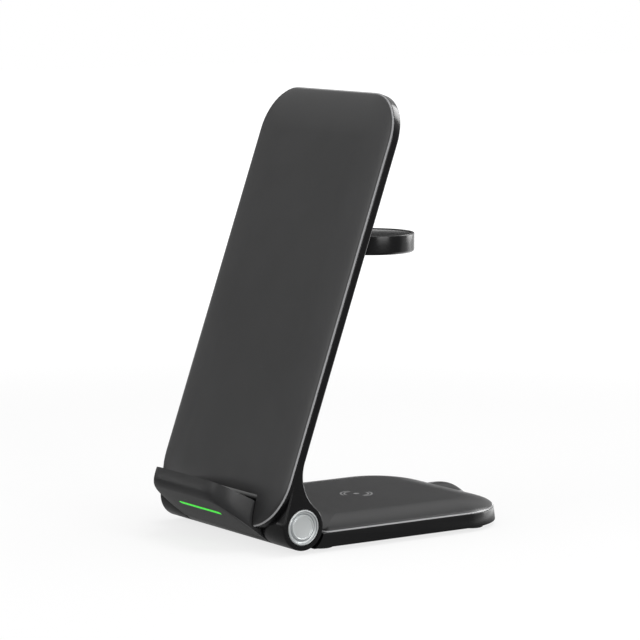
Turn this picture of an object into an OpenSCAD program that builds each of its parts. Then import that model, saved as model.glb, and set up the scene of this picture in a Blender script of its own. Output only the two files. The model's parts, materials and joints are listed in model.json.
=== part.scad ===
// Foldable wireless charging stand: an upright phone panel on a hinge, a flat base with
// a charging spot for an earbud case, and a small watch disc that swings out of the
// panel's back. Millimetres, +Z up, the phone faces -Y, the base runs back along +Y.
//
// How it is laid out
//   * Everything in the base is drawn from the main hinge's axis: y = 0, z = axis_height.
//   * in_panel() moves a drawing onto the leaning panel. There z runs up the panel from
//     the hinge axis, and y runs out of its back, so y = -n for a point that lies n
//     millimetres in front of the axis.
//   * in_arm() moves a drawing to the watch arm's own pin.
//   * in_row() slides the finished stand so that its footprint is centred on the origin.

/* [Panel] */
// Width of the panel and of the base
panel_width = 76; // [70:0.5:90]
// Length of the panel from the hinge axis to its top edge
panel_length = 142.5; // [130:0.5:165]
// Lean of the panel from vertical when it is open
panel_lean = 19.7; // [12:0.1:30]
// Front skin's edge, in front of the hinge axis
rim_n = 9.44; // [8.6:0.02:11]
// Back of the panel, in front of the hinge axis
back_n = 6.47; // [5.4:0.02:7.2]
// Height of the front skin's crown over its edge
crown = 2.6; // [1.8:0.1:4]
// Width of the rounded zone along the skin's edges
crown_zone = 13; // [8:0.5:15]
// Corner radius at the panel's top
top_corner = 15.5; // [8:0.5:18]
// Corner radius at the panel's bottom
bottom_corner = 17; // [12:0.5:20]
// How far the panel reaches below the hinge axis
panel_drop = 4.5; // [2:0.1:6]

/* [Main hinge] */
// Height of the hinge axis over the desk
axis_height = 8.9; // [8.4:0.1:10.5]
// Outer radius of the ears and the knuckle
hinge_r = 7.6; // [7:0.1:8]
// Width of the knuckle between the ears
knuckle_width = 48; // [44:0.5:54]
// Side gap between an ear and the knuckle
ear_gap = 0.4; // [0.3:0.05:0.8]
// Radius of the hinge pins
pin_r = 2.5; // [2:0.1:3]
// Radial clearance of every turning pin
run_gap = 0.05; // [0.02:0.01:0.1]
// Radius of the round covers on the ears
cap_r = 5.95; // [5:0.05:6.4]

/* [Base] */
// From the hinge axis to the base's rear edge
base_length = 88.3; // [84:0.5:96]
// Radius of the base's rear corners
base_corner = 22; // [12:0.5:24]
// Height of the base shell's rim over the desk
base_rim = 6.1; // [5.6:0.1:7]
// Height of the base's top over the desk
base_top = 9.3; // [9:0.1:11]
// Gap between the base shell and the desk
base_lift = 1.45; // [1:0.05:2]
// Width of the rounded zone along the cover's edges
base_zone = 14; // [8:0.5:16]
// Distance from the hinge axis to the earbud spot's centre
bud_y = 47; // [40:0.5:55]
// Sideways place of the charging inlet
port_x = -6.5; // [-12:0.5:12]

/* [Ledge] */
// Centre of the lip's round front, in front of the axis
lip_n = 21.6; // [18:0.1:26]
// Centre of the lip's round front, up the panel
lip_s = 3; // [2.4:0.1:4]
// Radius of the lip's round front
lip_r = 4; // [3.5:0.1:4.6]
// Height of the phone's rest up the panel
rest_s = 1.6; // [1:0.1:2.4]
// Length of the light bar
led_length = 25; // [16:0.5:32]

/* [Watch arm] */
// Height of the watch disc's centre over the desk
disc_height = 94.9; // [85:0.5:110]
// From the arm's pin to the disc's centre
arm_length = 24.4; // [22.5:0.1:30]
// Radius of the watch disc
disc_r = 15; // [13:0.1:17]
// Thickness of the watch disc
disc_h = 6.4; // [6:0.05:8]
// Place of the arm's pin in front of the main axis
arm_n = 2.6; // [2.2:0.1:3.2]
// Radius of the arm's barrel and lugs
barrel_r = 3.2; // [2.8:0.1:3.6]

/* [Walls] */
// Wall of the front skin and the base cover
skin = 1.5; // [1.2:0.1:2]
// Wall of the panel's frame and the base shell
wall = 2; // [1.6:0.1:2.6]
// Floor of the base shell and the back cover
plate = 1.2; // [1:0.1:1.6]

/* [Hidden] */
$fn = 64;
eps = 0.01;
hw = panel_width / 2;                 // half the width of panel and base
kw = knuckle_width / 2;               // half the knuckle
ear_x = kw + ear_gap;                 // inner face of an ear
notch_x = kw + 0.5;                   // half the notch in the skin for the ledge
notch_s = rest_s + 4.45;              // top of that notch, up the panel
fillet_r = 14;                        // hollow behind each ear
cap_seat = 3;                         // depth of the seat in the ear's outer face
cap_h = 2;                            // thickness of a cap
sweep_r = hinge_r + 0.95;             // hollow in the base around a turning ear
chin_k = 0.331;                       // slope of the chin against the panel's normal
chin_s = -hinge_r * sqrt(1 + chin_k * chin_k);  // chin line meets the axis plane here
cav_n = rim_n + crown - skin;         // inner face of the front skin at its middle
coil_t = 1.0;                         // thickness of the phone coils
ferrite_t = 0.8;                      // thickness of the phone ferrite
coil_r = (panel_length - 101.7) / 2;   // outer radius of a phone coil
coil_s = [44, panel_length - 56.5];    // places of the two phone coils up the panel
disc_z = disc_height - axis_height;   // disc over the main axis
arm_s = (disc_z - arm_n * sin(panel_lean)) / cos(panel_lean);  // arm's pin up the panel
arm_y = arm_s * sin(panel_lean) - arm_n * cos(panel_lean);     // and behind the axis
hood_y = base_length + 2.6;           // back of the hood round the inlet
hood_w = 11.5;                         // half its width
hood_top = base_rim + 2.2;            // its height
lip_mid = (rim_at(lip_n + lip_r) + chin_at(lip_n + lip_r)) / 2 + lip_s - 3;  // its height
lip_front = lip_n * cos(panel_lean) - lip_mid * sin(panel_lean) + lip_r;     // front end
row_y = (lip_front - hood_y) / 2;     // brings the footprint's centre to the origin
foot_at = [[hw - 9, 12.3], [hw - 9, base_length - 14.8]];
foot_r = 4.3;
boss_at = [[hw - 6.5, 24], [hw - 6.5, base_length - 28.3]];
board_w = hw;                         // width of the main board
board_y = base_length - 21.8;         // its front edge
upper_w = 2 * hw - 28;                // width of the panel's board
upper_s = panel_length - 30.5;        // its lower edge, up the panel
// half of the back cover's screws
cover_screws = [[hw - 5, panel_length - 14.5], [hw - 5, panel_length / 2 + 12.75], [hw - 5, 34]];
ledge_screws = [-12, 12];
ledge_screw_n = 10.4;
floor_s = rest_s - 1.8;               // underside of the ledge's floor
chin_t = 1.7;                         // height of the chin's wall, measured up the panel
led_n = 15.2;                         // place of the light bar in front of the axis

// Placing

module in_row() { translate([0, row_y, 0]) children(); }

module at_axis() { in_row() translate([0, 0, axis_height]) children(); }

module in_panel() { at_axis() rotate([-panel_lean, 0, 0]) children(); }

module in_arm() { at_axis() translate([0, arm_y, disc_z]) children(); }

// extrudes a flat (y, z) drawing from x0 to x1
module along_x(x0, x1) {
  translate([x0, 0, 0]) rotate([90, 0, 90]) linear_extrude(x1 - x0) children();
}

// a round bar along X, centred on the drawing's own axis
module bar_x(r, x0, x1) { translate([x0, 0, 0]) rotate([0, 90, 0]) cylinder(r = r, h = x1 - x0); }

// a round bar that goes from y0 to y1, used for screws in the panel
module bar_y(r, y0, y1) { translate([0, y1, 0]) rotate([90, 0, 0]) cylinder(r = r, h = y1 - y0); }

// Outlines

// rectangle from (-hx, a) to (hx, b) with its own corner radius at each end
module soft_rect(hx, a, b, ra, rb) {
  translate([-hx, a + ra]) square([2 * hx, b - a - ra - rb]);
  translate([-(hx - ra), a]) square([2 * (hx - ra), ra + eps]);
  translate([-(hx - rb), b - rb - eps]) square([2 * (hx - rb), rb + eps]);
  for (sx = [-1, 1]) {
    translate([sx * (hx - ra), a + ra]) circle(r = ra);
    translate([sx * (hx - rb), b - rb]) circle(r = rb);
  }
}

// the panel's outline, d inside the real one, as (x, up the panel)
module panel_outline(d) {
  soft_rect(hw - d, -panel_drop + d, panel_length - d, bottom_corner - d, top_corner - d);
}

// the base's outline, d inside the real one
module base_outline(d, front) {
  soft_rect(hw - d, front, base_length - d, 0.5, base_corner - d);
}

// Crowned shells: nested rounded rectangles, each one further in and higher up, so that
// the section across an edge is a quarter of an ellipse. The same rings, one wall
// further in and lower, make the inside.

// one ring of a rounded rectangle: d inside the outline, at height z
function ring(hx, a, b, ra, rb, d, z, m) = [
  for (c = [0:3], k = [0:m])
    let (r0 = c == 0 || c == 3 ? ra : rb,
         r = max(r0 - d, 0.3),
         cx = (c < 2 ? 1 : -1) * (hx - d - r),
         cy = c == 0 || c == 3 ? a + d + r : b - d - r,
         t = c * 90 - 90 + k * 90 / m)
    [cx + r * cos(t), cy + r * sin(t), z]];

// the rings of one side of the shell, from the edge to the flat middle
function dome(hx, a, b, ra, rb, zone, h, t, m, n) = [
  for (j = [0:n]) let (w = j * 90 / n)
    each ring(hx, a, b, ra, rb, t + zone * (1 - cos(w)), h * sin(w), m)];

module crowned(hx, a, b, ra, rb, zone, h, t, m = 7, n = 7) {
  p = 4 * (m + 1);
  top = dome(hx, a, b, ra, rb, zone, h, 0, m, n);
  low = dome(hx, a, b, ra, rb, zone - t / 2, h - t, t, m, n);
  s = len(top);
  polyhedron(
    points = concat(top, low),
    faces = concat(
      [for (j = [0:n - 1], i = [0:p - 1]) let (k = (i + 1) % p)
        [j * p + i, (j + 1) * p + i, (j + 1) * p + k, j * p + k]],
      [[for (i = [0:p - 1]) n * p + (p - 1 - i)]],
      [for (j = [0:n - 1], i = [0:p - 1]) let (k = (i + 1) % p)
        [s + j * p + k, s + (j + 1) * p + k, s + (j + 1) * p + i, s + j * p + i]],
      [[for (i = [0:p - 1]) s + n * p + i]],
      [for (i = [0:p - 1]) let (k = (i + 1) % p) [i, k, s + k, s + i]]),
    convexity = 4);
}

// Base

// section of the knuckle and its neck, as (y, z - axis_height)
module knuckle_section() {
  circle(r = hinge_r);
  translate([0, base_lift - axis_height]) square([11.5, base_rim - base_lift]);
}

// the tongue that carries the ledge, in the panel's own directions
module tongue_section() {
  polygon([[-6.5, floor_s - 0.05], [-13, floor_s - 0.05], [-13, chin_at(13) + chin_t + 0.1],
           [-6.5, chin_at(6.5) + chin_t + 0.1]]);
}

module base_shell() {
  color("#141416") difference() {
    union() {
      in_row() difference() {
        translate([0, 0, base_lift]) linear_extrude(base_rim - base_lift)
          base_outline(0, 0);
        translate([0, 0, base_lift + plate]) linear_extrude(base_rim)
          soft_rect(hw - wall, 11.5, base_length - wall, 0.5, base_corner - wall);
      }
      at_axis() along_x(-kw, kw) knuckle_section();
      in_panel() along_x(-16, 16) tongue_section();
      in_row() for (sx = [-1, 1], b = boss_at) translate([sx * b[0], b[1], base_lift])
        cylinder(r = 3.4, h = base_rim - base_lift);
      in_row() for (p = board_at) translate([p[0], p[1], base_lift])
        cylinder(r = 2.2, h = board_z - base_lift);
    }
    // hollows that the ears turn in
    at_axis() for (sx = [-1, 1]) {
      bar_x(sweep_r, sx > 0 ? ear_x - 0.4 : -hw - 1, sx > 0 ? hw + 1 : -ear_x + 0.4);
      translate([sx > 0 ? ear_x - 0.4 : -hw - 1, -hinge_r - 1, -axis_height])
        cube([hw + 1.4 - ear_x, hinge_r + 1, 2 * axis_height]);
    }
    // bores for the two hinge pins, joined by a wire way
    at_axis() for (sx = [-1, 1])
      bar_x(pin_r + run_gap, sx > 0 ? 11 : -kw - 1, sx > 0 ? kw + 1 : -11);
    at_axis() bar_x(1.6, -12, 12);
    in_row() {
      for (sx = [-1, 1], b = boss_at) translate([sx * b[0], b[1], 0]) {
        cylinder(r = 1.1, h = base_top);
        cylinder(r = 2.1, h = base_lift + 1.5);
      }
      for (p = board_at) translate([p[0], p[1], board_z - 1.7]) cylinder(r = 0.9, h = 6);
      for (sx = [-1, 1], f = foot_at) translate([sx * f[0], f[1], 0])
        cylinder(r = foot_r, h = base_lift + 0.5);
      translate([port_x - 4.75, base_length - wall - 1, base_lift + plate - 0.05])
        cube([9.5, wall + 2, 4]);
    }
    in_panel() for (x = ledge_screws) translate([x, -ledge_screw_n, -8])
      cylinder(r = 0.9, h = 12);
  }
}

board_z = base_lift + plate + 0.95;   // underside of the main board
board_at = [[5 - board_w / 2, board_y + 3.5], [board_w / 2 - 5, board_y + 3.5],
            [board_w / 2 - 5, board_y + 15.5]];

module base_cover() {
  color("#4b4b4d") in_row() translate([0, 0, base_rim]) difference() {
    union() {
      crowned(hw, 8.9, base_length, 3, base_corner, base_zone, base_top - base_rim, skin);
      for (sx = [-1, 1], b = boss_at) translate([sx * b[0], b[1], 0])
        cylinder(r = 2.6, h = 2.1);
    }
    for (sx = [-1, 1], b = boss_at) translate([sx * b[0], b[1], -eps])
      cylinder(r = 0.95, h = 1.6);
  }
}

// bell outline of the hood over the inlet, u from -1 to 1
function bell(u) = pow(max(1 - u * u, 0), 1.2);

module port_hood() {
  low = base_lift;
  color("#47474a") in_row() difference() {
    translate([port_x, hood_y, 0]) rotate([90, 0, 0]) linear_extrude(hood_y - base_length)
      polygon(concat(
        [[hood_w, low], [-hood_w, low]],
        [for (i = [-12:12]) let (u = i / 12)
          [hood_w * u, base_rim - 0.5 + (hood_top - base_rim + 0.5) * bell(u)]]));
    translate([port_x - 4.5 - 0.7, base_length - 1, low + plate - 0.55])
      cube([10.4, 5, 4.3]);
  }
}

module foot(i, sx) {
  color("#1d1d1f") in_row() translate([sx * foot_at[i][0], foot_at[i][1], 0])
    rotate_extrude() polygon([[0, 0], [foot_r - 0.3, 0], [foot_r, 0.3],
                              [foot_r, base_lift + 0.5], [0, base_lift + 0.5]]);
}

module foot_front_left() { foot(0, -1); }
module foot_front_right() { foot(0, 1); }
module foot_rear_left() { foot(1, -1); }
module foot_rear_right() { foot(1, 1); }

module base_screws() {
  color("#b8bac0") in_row() for (sx = [-1, 1], b = boss_at)
    translate([sx * b[0], b[1], base_lift + 0.5]) {
      cylinder(r = 1.9, h = 1);
      cylinder(r = 0.95, h = base_rim + 1.4 - base_lift - 0.5);
    }
}

module ballast() {
  color("#8c9096") in_row() translate([11 - hw, 15, base_lift + plate])
    cube([2 * hw - 22, base_length - 42.3, 1.9]);
}

module flat_coil(r, r_in, t) {
  difference() {
    cylinder(r = r, h = t);
    translate([0, 0, -1]) cylinder(r = r_in, h = t + 2);
  }
}

bud_z = base_top - skin - 1.1;        // underside of the earbud coil

module bud_coil() { color("#b5673a") in_row() translate([0, bud_y, bud_z]) flat_coil(20, 9, 1.1); }

module bud_ferrite() {
  color("#3b3d42") in_row() translate([0, bud_y, bud_z - 0.7]) cylinder(r = 21.5, h = 0.7);
}

module main_board() {
  color("#1f6b45") in_row() difference() {
    union() {
      translate([-board_w / 2, board_y, board_z]) cube([board_w, 19, 1]);
      translate([4, board_y + 2.5, board_z + 1]) cube([6, 6, 0.9]);
      translate([5 - board_w / 2, board_y + 8, board_z + 1]) cube([3, 5, 1.1]);
      translate([7, board_y + 11.5, board_z + 1]) cube([3.5, 3.5, 1.3]);
      translate([-8, board_y + 2.5, board_z + 1]) cube([5, 4, 1.3]);
    }
    translate([port_x - 4.6, board_y + 12.5, board_z - 1]) cube([9.2, 10, 3]);
    for (p = board_at) translate([p[0], p[1], 0]) cylinder(r = 1.1, h = 20);
  }
}

module board_screws() {
  color("#b8bac0") in_row() for (p = board_at) translate([p[0], p[1], 0]) {
    translate([0, 0, board_z + 1]) cylinder(r = 1.7, h = 0.8);
    translate([0, 0, board_z - 1.6]) cylinder(r = 0.9, h = 2.7);
  }
}

// receptacle: a flat tube with round ends and a tongue, held in a slot of the board
module usb_outline(d) {
  for (x = [-1, 1]) translate([x * 2.87, 0]) circle(r = 1.6 - d);
  square([5.74, 3.2 - 2 * d], center = true);
}

usb_z = base_lift + plate + 0.1 + 1.6;

module usb_inlet() {
  color("#c4c6ca") in_row() translate([port_x, 0, usb_z]) {
    difference() {
      translate([0, base_length - 0.4, 0]) rotate([90, 0, 0]) linear_extrude(8.2)
        usb_outline(0);
      translate([0, base_length + 1, 0]) rotate([90, 0, 0]) linear_extrude(8.4)
        usb_outline(0.3);
    }
    translate([-3.3, base_length - 7.8, -0.35]) cube([6.6, 6, 0.7]);
    for (sx = [-1, 1]) translate([sx * 5.4 - 1.2, base_length - 8.2, board_z + 1 - usb_z])
      cube([2.4, 1.6, 0.3]);
  }
}

// spring washers that give the panel's hinge its friction
module washer(sx) {
  color("#9a9ca2") at_axis() difference() {
    bar_x(5.5, sx > 0 ? kw : -kw - 0.3, sx > 0 ? kw + 0.3 : -kw);
    bar_x(pin_r + 0.3, -kw - 2, kw + 2);
  }
}

module washer_left() { washer(-1); }
module washer_right() { washer(1); }

// Ledge. Its section is drawn as (-n, s), the panel's own directions, so the front is
// at negative y. The chin is a straight line that touches the knuckle's circle.

function chin_at(n) = chin_s + chin_k * n;

// The ledge's outside is a loft. Each station is a cut at one x: the chin's line, the
// round front, and the rim's plane. Towards the ends the front draws back to the panel.

function rim_at(n) = notch_s - 2 + 0.157 * (n - 12);

// how far the front reaches at x, as a share u of half the width
function front_at(u) = 12 + (lip_n + lip_r - 12) * (1 - pow(abs(u), 10));

function ledge_cut(u) = let (
    f = front_at(u),
    c = f - lip_r,
    // height of the round front's centre, midway between the chin and the rim
    m = (rim_at(f) + chin_at(f)) / 2 + lip_s - 3,
    // angles at which the round front meets the rim and the chin
    a0 = asin((rim_at(c) + 0.15 * lip_r - m) / lip_r * 0.97),
    a1 = -58)
  concat(
    [[4, chin_at(4)], [6, chin_at(6)]],
    [for (k = [0:9]) let (a = a1 + (a0 - a1) * k / 9,
                          n = c + lip_r * cos(a), s = m + lip_r * sin(a))
      [n, max(s, chin_at(n))]],
    [[6, rim_at(6)], [4, rim_at(4)]]);

ledge_u = [0, 0.3, 0.5, 0.6, 0.68, 0.75, 0.8, 0.84, 0.88, 0.91, 0.94, 0.965, 0.983, 1];

module ledge_body() {
  us = concat([for (i = [1:len(ledge_u) - 1]) -ledge_u[len(ledge_u) - i]], ledge_u);
  cuts = [for (u = us) ledge_cut(u)];
  p = len(cuts[0]);
  q = len(us);
  polyhedron(
    points = [for (i = [0:q - 1], c = cuts[i]) [us[i] * kw, -c[0], c[1]]],
    faces = concat(
      [for (i = [0:q - 2], j = [0:p - 1]) let (k = (j + 1) % p)
        [i * p + j, (i + 1) * p + j, (i + 1) * p + k, i * p + k]],
      [[for (j = [0:p - 1]) j]],
      [[for (j = [0:p - 1]) q * p - 1 - j]]),
    convexity = 4);
}

// plan of the channel behind the lip, as (x, -n): t is the wall around it
module channel_plan(t, back) {
  w = kw - t;
  f = lip_n + lip_r - 3.2;
  polygon(concat(
    [[w, -back], [-w, -back]],
    [for (i = [-12:12]) let (u = sin(i * 7.5)) [w * u, -(12 - t + (f - 12 + t) * (1 - pow(abs(u), 8)))]]));
}

module ledge() {
  color("#4b4b4d") difference() {
    in_panel() ledge_body();
    in_panel() bar_x(hinge_r + 0.05, -kw - 1, kw + 1);
    in_panel() for (sx = [-1, 1])
      translate([sx > 0 ? kw - 0.1 : -kw - 5.9, -40, -20]) cube([6, 60, 40]);
    // the channel that the phone stands in
    in_panel() translate([0, 0, rest_s - 0.8]) linear_extrude(20) channel_plan(1.7, -20);
    // hollow for the light and the knuckle's tongue
    in_panel() along_x(-17.2, 17.2)
      polygon([[-6, floor_s], [(chin_s + chin_t - floor_s) / chin_k, floor_s],
               [-6, chin_at(6) + chin_t]]);
    in_panel() for (x = ledge_screws) translate([x, -ledge_screw_n, floor_s - eps]) {
      cylinder(r = 1.0, h = 5);
      translate([0, 0, 0.5]) cylinder(r = 1.9, h = 5);
    }
    // window for the light bar, with a pocket behind it for its board
    led_place() translate([-led_length / 2, -0.75, -1.1]) cube([led_length, 1.5, 3]);
    led_place() translate([-led_length / 2 - 1.1, -2.1, -1.9]) cube([led_length + 2.2, 4.2, 0.9]);
  }
}

// at the light bar: x along the bar, y up the chin, z out of it
module led_place() {
  in_panel() translate([0, -led_n, chin_at(led_n)]) rotate([180 - atan(chin_k), 0, 0])
    children();
}

module ledge_pad() {
  color("#232325") in_panel() translate([0, 0, rest_s - 0.8]) linear_extrude(0.8)
    channel_plan(1.75, hinge_r + 0.4);
}

module ledge_fixings() {
  color("#b8bac0") in_panel() for (x = ledge_screws)
    translate([x, -ledge_screw_n, floor_s + 0.5]) {
      cylinder(r = 1.8, h = 0.5);
      translate([0, 0, -2.6]) cylinder(r = 0.9, h = 2.7);
    }
}

module light_bar() {
  color("#49e13c") led_place() translate([-led_length / 2, -0.75, -1])
    cube([led_length, 1.5, 1]);
}

module light_board() {
  color("#1f6b45") led_place() translate([-led_length / 2 - 1, -2, -1.6])
    cube([led_length + 2, 4, 0.6]);
}

// Panel

// side view of an ear and the web that runs up into the frame, as (-n, s)
module ear_section() {
  cs = sqrt(pow(hinge_r + fillet_r, 2) - pow(fillet_r - back_n, 2));
  k = hinge_r / (hinge_r + fillet_r);
  circle(r = hinge_r);
  difference() {
    polygon([[-hinge_r, 0], [-rim_n, 17], [-rim_n, cs], [-back_n, cs],
             [(fillet_r - back_n) * k, cs * k], [0, 0]]);
    translate([fillet_r - back_n, cs]) circle(r = fillet_r);
  }
}

module panel_frame() {
  inner = -cav_n + 0.2;
  color("#161618") in_panel() difference() {
    union() {
      // the band around the edge
      rotate([90, 0, 0]) translate([0, 0, back_n]) linear_extrude(rim_n - back_n)
        difference() {
          panel_outline(0);
          panel_outline(wall);
        }
      for (sx = [-1, 1]) along_x(sx > 0 ? ear_x : -hw, sx > 0 ? hw : -ear_x) ear_section();
      // the wall over the notch for the ledge
      translate([-notch_x - 1.6, inner, notch_s])
        cube([2 * notch_x + 3.2, -back_n - inner, 2]);
      // bosses for the back cover's screws
      for (sx = [-1, 1], c = cover_screws) translate([sx * c[0], 0, c[1]]) {
        bar_y(2.4, -rim_n, -back_n - plate);
        translate([sx > 0 ? 0 : -hw + 1 + c[0], -rim_n, -2.4])
          cube([hw - 1 - c[0], rim_n - back_n - plate, 4.8]);
      }
    }
    // the middle of the lower edge is open for the ledge and the knuckle
    translate([-notch_x, -40, -20]) cube([2 * notch_x, 80, 20 + notch_s]);
    // pin bores and cap seats
    bar_x(pin_r, -hw - 1, hw + 1);
    for (sx = [-1, 1])
      bar_x(cap_r + 0.05, sx > 0 ? hw - cap_seat : -hw - 1, sx > 0 ? hw + 1 : -hw + cap_seat);
    for (sx = [-1, 1], c = cover_screws) translate([sx * c[0], 0, c[1]])
      bar_y(0.95, -rim_n + 0.5, 0);
  }
}

module front_skin() {
  color("#4b4b4d") in_panel() difference() {
    rotate([90, 0, 0]) translate([0, 0, rim_n])
      crowned(hw, -panel_drop, panel_length, bottom_corner, top_corner, crown_zone, crown,
              skin);
    translate([-notch_x, -rim_n - 20, -20]) cube([2 * notch_x, 40, 20 + notch_s]);
  }
}

module back_cover() {
  gap = wall + 0.05;
  low = fillet_r + 7;
  color("#1b1b1d") in_panel() difference() {
    union() {
      rotate([90, 0, 0]) translate([0, 0, back_n]) linear_extrude(plate) difference() {
        panel_outline(gap);
        translate([-hw, -20]) square([panel_width, 20 + notch_s + 2.05]);
        for (sx = [-1, 1]) translate([sx > 0 ? ear_x - 0.2 : -hw, -20])
          square([hw - ear_x + 0.2, 20 + low]);
      }
      for (x = [-13, 13]) translate([x, 0, arm_s]) bar_y(2.2, -back_n - plate - 1, -back_n);
    }
    for (sx = [-1, 1], c = cover_screws) translate([sx * c[0], 0, c[1]]) {
      bar_y(1.05, -20, 0);
      bar_y(1.9, -back_n - 0.6, 0);
    }
    for (x = [-13, 13]) translate([x, 0, arm_s]) bar_y(0.8, -20, 0);
  }
}

module cover_fixings() {
  color("#b8bac0") in_panel() for (sx = [-1, 1], c = cover_screws)
    translate([sx * c[0], 0, c[1]]) {
      bar_y(1.75, -back_n - 0.6, -back_n - 0.05);
      bar_y(0.95, -rim_n + 0.6, -back_n - 0.5);
    }
}

module phone_coil(i) {
  color("#b5673a") in_panel() translate([0, -cav_n + coil_t, coil_s[i]]) rotate([90, 0, 0])
    flat_coil(coil_r, coil_r / 2, coil_t);
}

module phone_coil_low() { phone_coil(0); }
module phone_coil_high() { phone_coil(1); }

module phone_ferrite() {
  color("#3b3d42") in_panel()
    translate([-coil_r - 1.5, -cav_n + coil_t, coil_s[0] - coil_r - 1.5])
      cube([2 * coil_r + 3, ferrite_t, coil_s[1] - coil_s[0] + 2 * coil_r + 3]);
}

module panel_board() {
  color("#1f6b45") in_panel() union() {
    translate([-upper_w / 2, -back_n - plate - 1, upper_s]) cube([upper_w, 1, 18]);
    translate([6 - upper_w / 2, -back_n - plate - 2, upper_s + 4]) cube([7, 1.01, 7]);
    translate([6, -back_n - plate - 1.8, upper_s + 3]) cube([5, 0.81, 4]);
    translate([0, -back_n - plate - 1.8, upper_s + 10]) cube([9, 0.81, 4]);
  }
}

module hinge_pin(sx) {
  color("#c0c2c6") in_panel() {
    bar_x(pin_r, sx > 0 ? 12 : -hw + cap_seat, sx > 0 ? hw - cap_seat : -12);
    bar_x(4.2, sx > 0 ? hw - cap_seat : -hw + cap_h, sx > 0 ? hw - cap_h : -hw + cap_seat);
  }
}

module hinge_pin_left() { hinge_pin(-1); }
module hinge_pin_right() { hinge_pin(1); }

// round cover with a bevelled edge, a raised ring and a sunk centre
module hinge_cap(sx) {
  color("#c9cccd") in_panel() rotate([0, sx * 90, 0]) translate([0, 0, hw - cap_h])
    rotate_extrude() polygon([[0, 0], [cap_r, 0], [cap_r, cap_h - 0.35],
      [cap_r - 0.35, cap_h], [cap_r - 1.1, cap_h - 0.15], [4.15, cap_h - 0.3],
      [3.95, cap_h - 0.3], [3.7, cap_h - 0.75], [0, cap_h - 0.75]]);
}

module hinge_cap_left() { hinge_cap(-1); }
module hinge_cap_right() { hinge_cap(1); }

// Watch arm

lug_in = 7.2;                         // inner face of a lug
lug_out = 10.4;                       // and its outer face

module arm_bracket() {
  color("#1b1b1d") in_panel() difference() {
    union() {
      translate([-16, -back_n, arm_s - 7]) cube([32, 1.2, 13]);
      for (sx = [-1, 1]) along_x(sx > 0 ? lug_in : -lug_out, sx > 0 ? lug_out : -lug_in) {
        translate([-arm_n, arm_s]) circle(r = barrel_r);
        translate([-back_n, arm_s - barrel_r]) square([back_n - arm_n, 2 * barrel_r]);
      }
    }
    translate([0, -arm_n, arm_s]) bar_x(1.25, -20, 20);
    // hollow that the barrel turns in
    translate([0, -arm_n, arm_s]) bar_x(barrel_r + 0.3, -lug_in, lug_in);
    for (x = [-13, 13]) translate([x, 0, arm_s]) bar_y(1.0, -20, 0);
  }
}

module bracket_screws() {
  color("#b8bac0") in_panel() for (x = [-13, 13]) translate([x, 0, arm_s]) {
    bar_y(1.7, -back_n + 1.2, -back_n + 2);
    bar_y(0.8, -back_n - plate - 0.9, -back_n + 1.3);
  }
}

module arm_pin() {
  color("#c0c2c6") in_panel() translate([0, -arm_n, arm_s]) bar_x(1.25, -lug_out, lug_out);
}

module watch_arm() {
  h = disc_h / 2;
  color("#161618") in_arm() difference() {
    union() {
      bar_x(barrel_r, -lug_in + 0.2, lug_in - 0.2);
      translate([-lug_in + 0.2, 0, -0.4]) cube([2 * lug_in - 0.4, arm_length - disc_r + 3, 2.8]);
      translate([0, arm_length, -h]) rotate_extrude()
        polygon([[0, 0], [disc_r - 1, 0], [disc_r - 0.3, 0.3], [disc_r, 1],
                 [disc_r, disc_h - 0.5], [disc_r - 0.15, disc_h - 0.15],
                 [disc_r - 0.5, disc_h], [0, disc_h]]);
    }
    // the cup, and the shallow seat of its lid
    translate([0, arm_length, -h + plate]) cylinder(r = disc_r - 2.2, h = disc_h);
    translate([0, arm_length, h - 1.3]) cylinder(r = disc_r - 1.1, h = disc_h);
    bar_x(1.25 + run_gap, -20, 20);
  }
}

module watch_lid() {
  color("#26262a") in_arm() translate([0, arm_length, disc_h / 2 - 1.3])
    rotate_extrude() polygon([[0, 0], [disc_r - 1.15, 0], [disc_r - 1.15, 1.0],
                              [disc_r - 1.4, 1.15], [disc_r - 4, 1.2], [0, 1.2]]);
}

watch_t = disc_h - plate - 1.3;       // height inside the cup

module watch_coil() {
  color("#b5673a") in_arm() translate([0, arm_length, disc_h / 2 - 1.3 - 1.6])
    flat_coil(disc_r - 3.2, 5.5, 1.6);
}

module watch_ferrite() {
  color("#3b3d42") in_arm() translate([0, arm_length, -disc_h / 2 + plate])
    cylinder(r = disc_r - 2.8, h = watch_t - 1.6);
}

module watch_magnet() {
  color("#aeb1b6") in_arm() translate([0, arm_length, disc_h / 2 - 1.3 - 1.6])
    cylinder(r = 4.5, h = 1.6);
}

// Drawing

base_shell();
base_cover();
port_hood();
foot_front_left();
foot_front_right();
foot_rear_left();
foot_rear_right();
base_screws();
ballast();
bud_coil();
bud_ferrite();
main_board();
board_screws();
usb_inlet();
washer_left();
washer_right();
ledge();
ledge_pad();
ledge_fixings();
light_bar();
light_board();
panel_frame();
front_skin();
back_cover();
cover_fixings();
phone_coil_low();
phone_coil_high();
phone_ferrite();
panel_board();
hinge_pin_left();
hinge_pin_right();
hinge_cap_left();
hinge_cap_right();
arm_bracket();
bracket_screws();
arm_pin();
watch_arm();
watch_lid();
watch_coil();
watch_ferrite();
watch_magnet();
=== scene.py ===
# %% [markdown]
# # A foldable wireless charging stand
# This lesson dresses a finished CAD model of a charging stand: a leaning panel for a
# phone, a flat base with a spot for an earbud case, and a small watch disc on an arm.
# The CAD solids fix every size. Here each outer part gets a finer surface, worked out
# with numpy, and a procedural finish.

# %% Load the frame
import json
import math

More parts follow.
